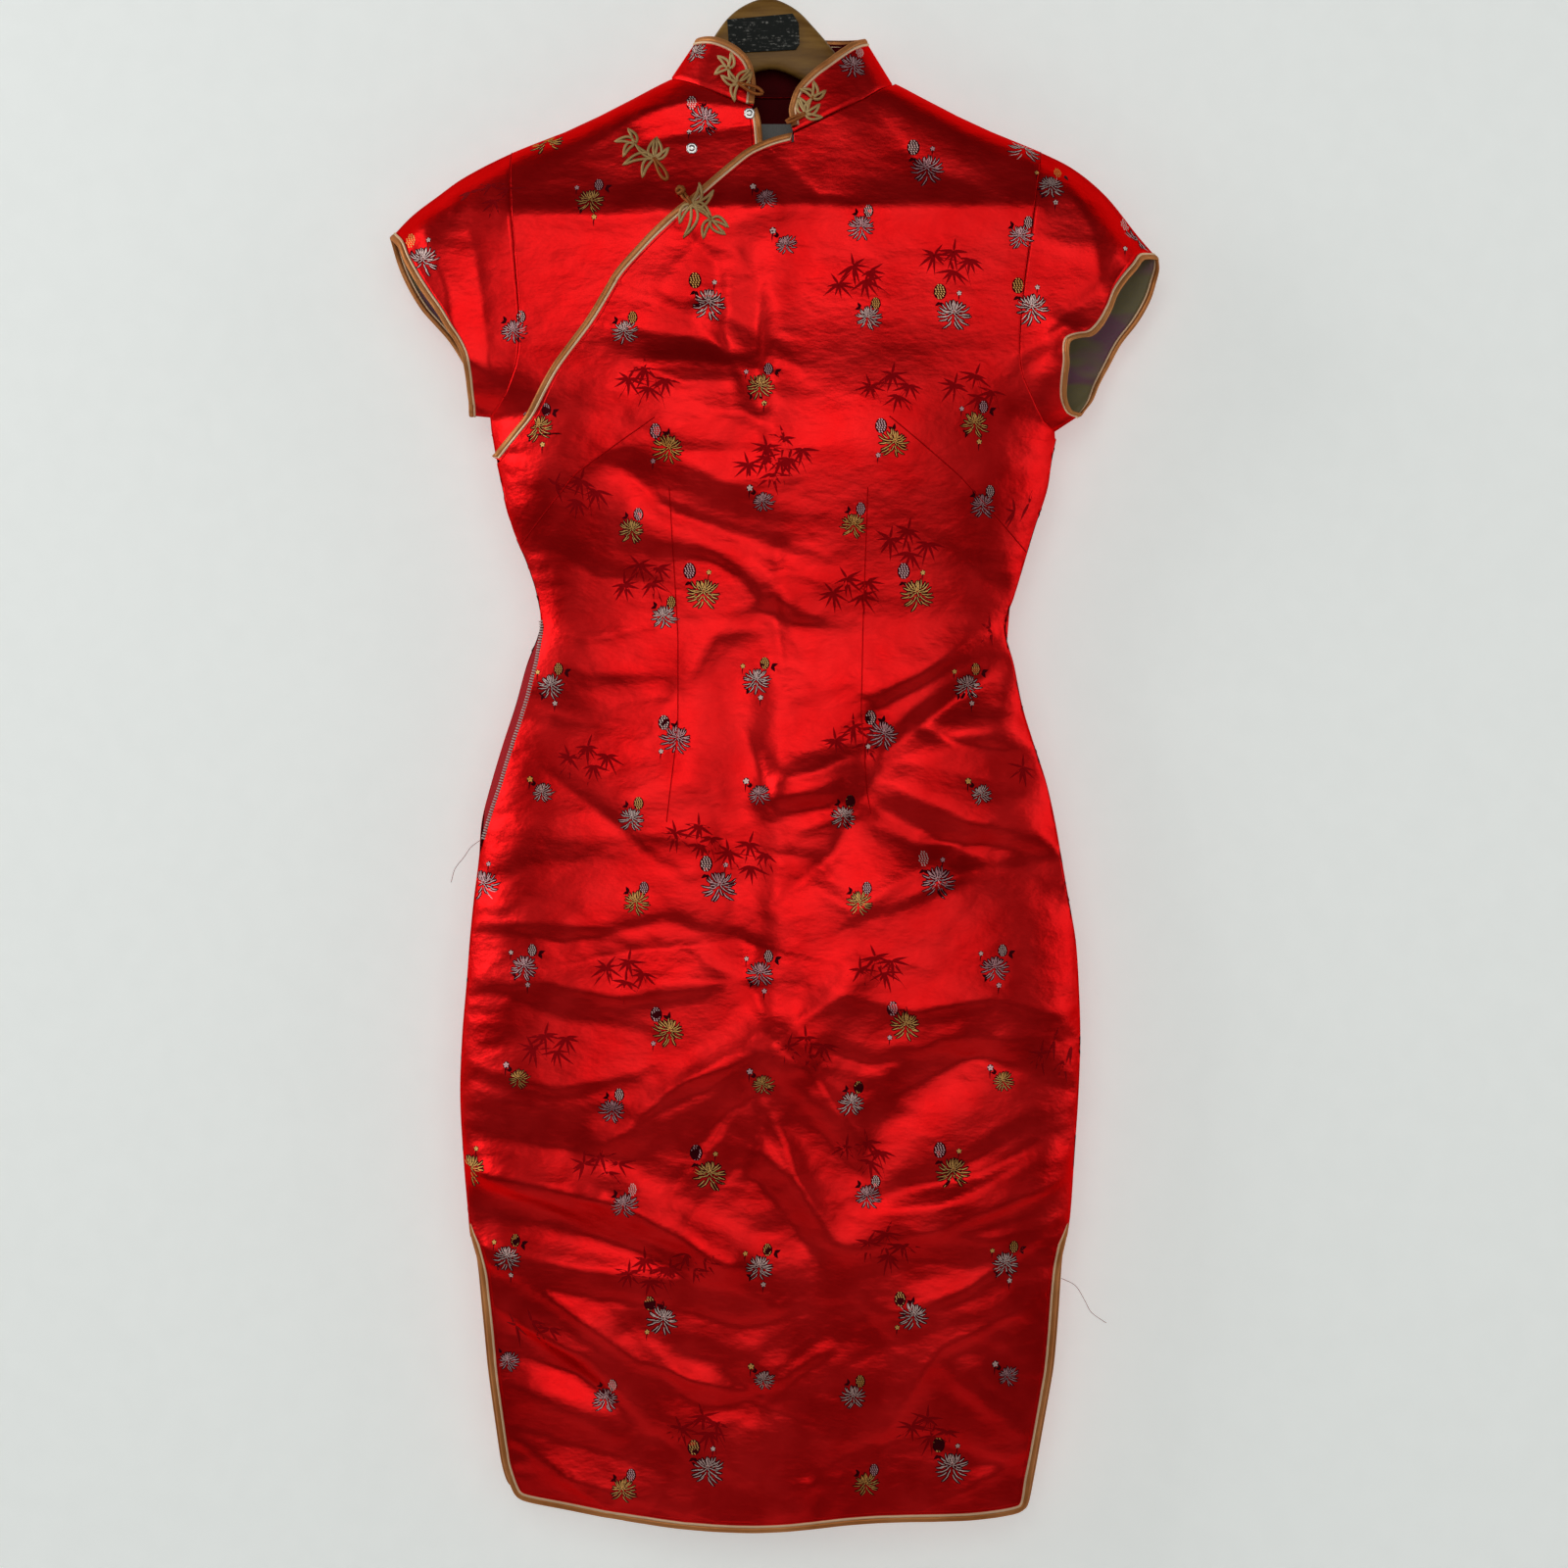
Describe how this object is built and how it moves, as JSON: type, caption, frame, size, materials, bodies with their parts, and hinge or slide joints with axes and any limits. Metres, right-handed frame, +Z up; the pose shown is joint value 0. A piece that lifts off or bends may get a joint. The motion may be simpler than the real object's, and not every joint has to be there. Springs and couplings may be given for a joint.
{
  "type": "cheongsam dress on a hanger",
  "caption": "Short cap-sleeved cheongsam with a stand collar, curved side overlap and side slits, hanging flat on a wooden hanger.",
  "frame": {"origin": "inner top of the hanger's hook, where a rod bears on it", "axes": "+Z up along the dress, +Y from the front of the dress to its back, +X to the right as seen from the front"},
  "size_m": [0.569, 0.0676, 1.194],
  "materials": {
    "satin": "red satin brocade with small woven flowers",
    "binding": "copper satin binding",
    "piping": "pale cream satin piping",
    "frog": "golden-khaki satin cord",
    "snap": "bright pressed metal",
    "tape": "dark crimson woven tape",
    "label": "grey-white woven label, blank",
    "wood": "varnished honey-brown wood",
    "plaque": "dark worn plate, blank",
    "hook": "plated steel wire"
  },
  "bodies": {
    "root": {"back_bust": "satin", "back_skirt": "satin", "back_waist": "satin", "back_yoke": "satin", "binding_back_hem": "binding", "binding_collar": "binding", "binding_cuff_left": "binding", "binding_cuff_right": "binding", "binding_front_hem": "binding", "binding_overlap": "binding", "binding_underlap": "binding", "collar": "satin", "frog_knot_chest": "frog", "frog_knot_collar": "frog", "frog_loop_chest": "frog", "frog_loop_collar": "frog", "front_bust": "satin", "front_skirt": "satin", "front_underlap": "satin", "front_waist": "satin", "front_yoke": "satin", "hanger_hook": "hook", "hanger_plaque": "plaque", "hanger_wood": "wood", "neck_label": "label", "piping_back_hem": "piping", "piping_collar": "piping", "piping_cuff_left": "piping", "piping_cuff_right": "piping", "piping_front_hem": "piping", "piping_overlap": "piping", "piping_underlap": "piping", "sleeve_left": "satin", "sleeve_right": "satin", "snap_chest": "snap", "snap_collar": "snap", "zip_tape": "tape"}
  },
  "joints": []
}
